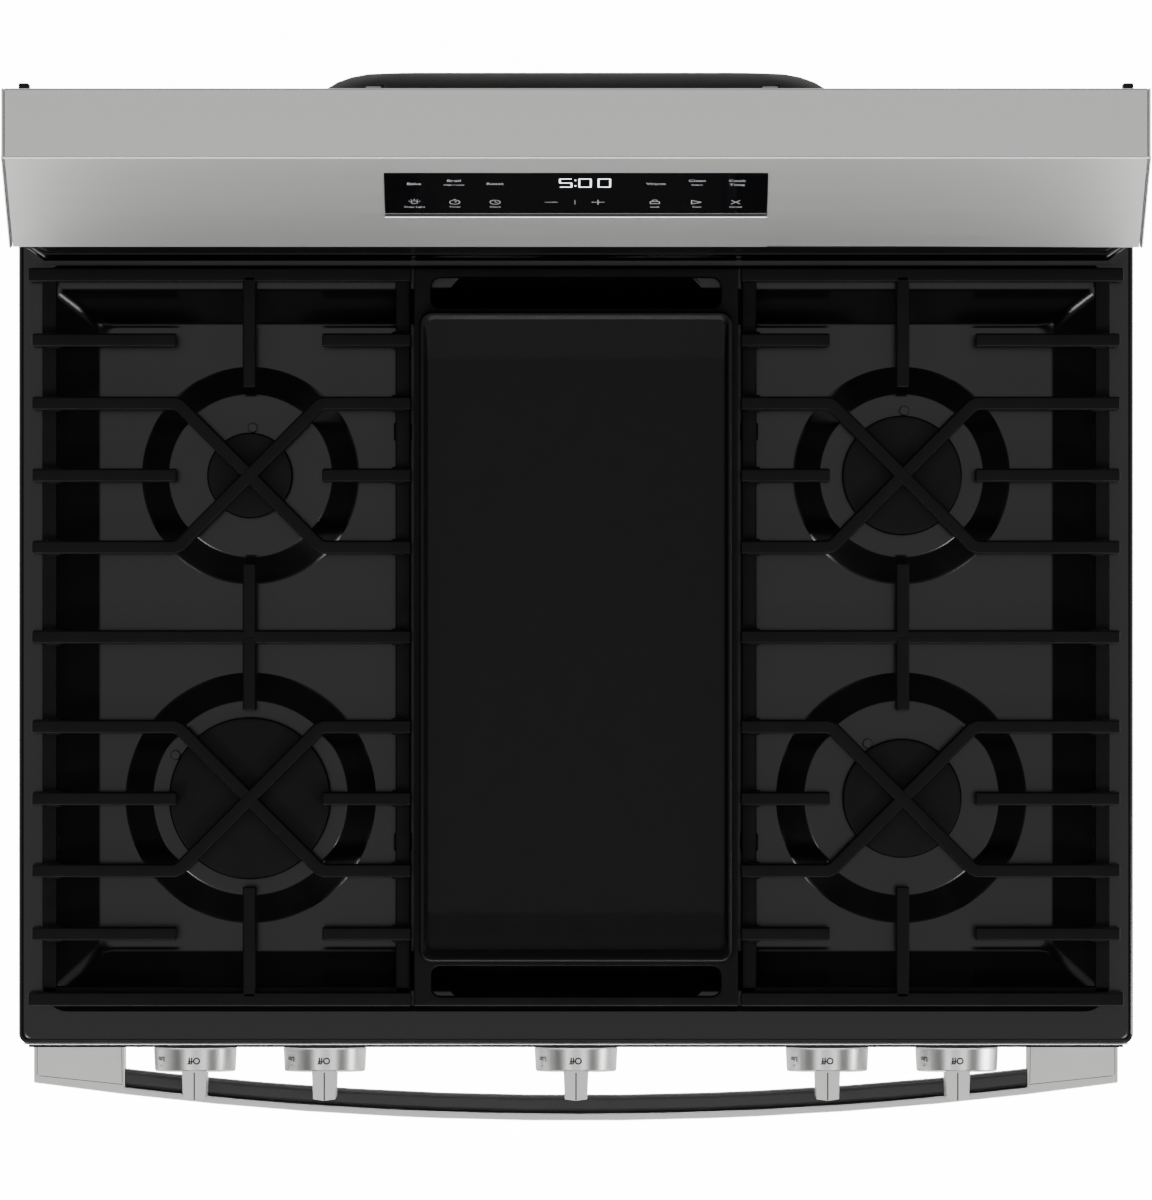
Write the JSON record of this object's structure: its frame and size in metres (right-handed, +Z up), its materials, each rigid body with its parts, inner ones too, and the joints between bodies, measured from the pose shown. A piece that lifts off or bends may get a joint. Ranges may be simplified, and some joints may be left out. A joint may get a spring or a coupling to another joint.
{
  "type": "freestanding gas range",
  "caption": "Freestanding gas range with a backguard, gas burners under cast grates and a griddle, push-and-turn knobs, a drop-down oven door and a storage drawer.",
  "frame": {"origin": "on the floor, under the middle of the whole outline, handle and motor cover included", "axes": "+Z up, -Y towards the person who cooks (the front), +X towards the right side seen from the front"},
  "size_m": [0.7606, 0.7322, 1.2],
  "materials": {
    "stainless": "fine horizontal brushing",
    "black_enamel": "gloss black porcelain enamel",
    "oven_enamel": "speckled porcelain enamel",
    "cast_iron": "matt black, fine cast grain",
    "cap_enamel": "matt black enamel",
    "burner_aluminium": "die cast, dull",
    "cabinet_paint": "satin black paint",
    "galvanised_steel": "zinc coated, dull spangle",
    "brass_fittings": "as machined",
    "knob_metal": "satin, turned skirt",
    "rack_wire": "bright nickel plate",
    "panel_glass": "black glass, polished",
    "window_glass": "dark tinted, polished",
    "grip_paint": "smooth charcoal"
  },
  "bodies": {
    "cabinet": {"control_housing": "stainless", "left_end_cap": "stainless", "right_end_cap": "stainless", "control_panel": "stainless", "cooktop": "black_enamel", "backguard_riser": "black_enamel", "oven_liner": "oven_enamel", "oven_bottom_panel": "oven_enamel", "fan_baffle": "oven_enamel", "burner_cap_left_front": "cap_enamel", "burner_cap_left_rear": "cap_enamel", "burner_cap_centre": "cap_enamel", "burner_cap_right_rear": "cap_enamel", "burner_cap_right_front": "cap_enamel", "burner_head_left_front": "burner_aluminium", "burner_head_left_rear": "burner_aluminium", "burner_head_centre": "burner_aluminium", "burner_head_right_rear": "burner_aluminium", "burner_head_right_front": "burner_aluminium", "left_side_panel": "cabinet_paint", "right_side_panel": "cabinet_paint", "fan_motor_cover": "cabinet_paint", "base_frame": "galvanised_steel", "back_panel": "galvanised_steel", "fan_motor": "galvanised_steel", "bake_burner": "galvanised_steel", "broil_burner": "galvanised_steel", "door_hinge_left": "galvanised_steel", "door_hinge_right": "galvanised_steel", "levelling_foot_front_left": "galvanised_steel", "levelling_foot_front_right": "galvanised_steel", "levelling_foot_rear_left": "galvanised_steel", "levelling_foot_rear_right": "galvanised_steel", "gas_manifold": "brass_fittings", "gas_regulator": "brass_fittings", "touch_panel": "panel_glass"},
    "door": {"door_shell": "stainless", "door_window": "window_glass", "door_inner_panel": "oven_enamel", "handle_frame": "stainless", "handle_grip": "grip_paint"},
    "drawer": {"drawer_front": "stainless", "drawer_box": "galvanised_steel"},
    "lower_rack_body": {"lower_rack": "rack_wire"},
    "upper_rack_body": {"upper_rack": "rack_wire"},
    "fan": {"convection_fan": "galvanised_steel"},
    "left_grate_body": {"left_grate": "cast_iron"},
    "centre_grate_body": {"centre_grate": "cast_iron"},
    "right_grate_body": {"right_grate": "cast_iron"},
    "griddle_body": {"griddle": "cast_iron"},
    "stem_left_front": {"valve_stem_left_front": "brass_fittings"},
    "dial_left_front": {"knob_left_front": "knob_metal"},
    "stem_left_rear": {"valve_stem_left_rear": "brass_fittings"},
    "dial_left_rear": {"knob_left_rear": "knob_metal"},
    "stem_centre": {"valve_stem_centre": "brass_fittings"},
    "dial_centre": {"knob_centre": "knob_metal"},
    "stem_right_rear": {"valve_stem_right_rear": "brass_fittings"},
    "dial_right_rear": {"knob_right_rear": "knob_metal"},
    "stem_right_front": {"valve_stem_right_front": "brass_fittings"},
    "dial_right_front": {"knob_right_front": "knob_metal"}
  },
  "joints": [
    {"name": "door_hinge", "type": "hinge", "parent": "cabinet", "child": "door", "pos_m": [0, -0.29675, 0.264], "axis": [1, 0, 0], "range_deg": [0, 88], "stiffness_Nm_per_rad": 12.7, "springref_deg": -22.92},
    {"name": "drawer_slide", "type": "slide", "parent": "cabinet", "child": "drawer", "axis": [0, -1, 0], "range_m": [0, 0.35]},
    {"name": "lower_rack_slide", "type": "slide", "parent": "cabinet", "child": "lower_rack_body", "axis": [0, -1, 0], "range_m": [0, 0.034]},
    {"name": "upper_rack_slide", "type": "slide", "parent": "cabinet", "child": "upper_rack_body", "axis": [0, -1, 0], "range_m": [0, 0.034]},
    {"name": "fan_spin", "type": "hinge", "parent": "cabinet", "child": "fan", "pos_m": [0, 0.16, 0.5295], "axis": [0, 1, 0], "continuous": true},
    {"name": "push_left_front", "type": "slide", "parent": "cabinet", "child": "stem_left_front", "axis": [0, 1, 0], "range_m": [0, 0.0025], "stiffness_N_per_m": 3000},
    {"name": "turn_left_front", "type": "hinge", "parent": "stem_left_front", "child": "dial_left_front", "pos_m": [-0.2616, -0.32, 0.8445], "axis": [0, -1, 0], "range_deg": [0, 240]},
    {"name": "push_left_rear", "type": "slide", "parent": "cabinet", "child": "stem_left_rear", "axis": [0, 1, 0], "range_m": [0, 0.0025], "stiffness_N_per_m": 3000},
    {"name": "turn_left_rear", "type": "hinge", "parent": "stem_left_rear", "child": "dial_left_rear", "pos_m": [-0.1725, -0.32, 0.8445], "axis": [0, -1, 0], "range_deg": [0, 240]},
    {"name": "push_centre", "type": "slide", "parent": "cabinet", "child": "stem_centre", "axis": [0, 1, 0], "range_m": [0, 0.0025], "stiffness_N_per_m": 3000},
    {"name": "turn_centre", "type": "hinge", "parent": "stem_centre", "child": "dial_centre", "pos_m": [0, -0.32, 0.8445], "axis": [0, -1, 0], "range_deg": [0, 240]},
    {"name": "push_right_rear", "type": "slide", "parent": "cabinet", "child": "stem_right_rear", "axis": [0, 1, 0], "range_m": [0, 0.0025], "stiffness_N_per_m": 3000},
    {"name": "turn_right_rear", "type": "hinge", "parent": "stem_right_rear", "child": "dial_right_rear", "pos_m": [0.1725, -0.32, 0.8445], "axis": [0, -1, 0], "range_deg": [0, 240]},
    {"name": "push_right_front", "type": "slide", "parent": "cabinet", "child": "stem_right_front", "axis": [0, 1, 0], "range_m": [0, 0.0025], "stiffness_N_per_m": 3000},
    {"name": "turn_right_front", "type": "hinge", "parent": "stem_right_front", "child": "dial_right_front", "pos_m": [0.2616, -0.32, 0.8445], "axis": [0, -1, 0], "range_deg": [0, 240]},
    {"name": "left_grate_lift", "type": "slide", "parent": "cabinet", "child": "left_grate_body", "axis": [0, 0, 1], "range_m": [0, 0.12]},
    {"name": "centre_grate_lift", "type": "slide", "parent": "cabinet", "child": "centre_grate_body", "axis": [0, 0, 1], "range_m": [0, 0.12]},
    {"name": "right_grate_lift", "type": "slide", "parent": "cabinet", "child": "right_grate_body", "axis": [0, 0, 1], "range_m": [0, 0.12]},
    {"name": "griddle_lift", "type": "slide", "parent": "centre_grate_body", "child": "griddle_body", "axis": [0, 0, 1], "range_m": [0, 0.12]}
  ]
}
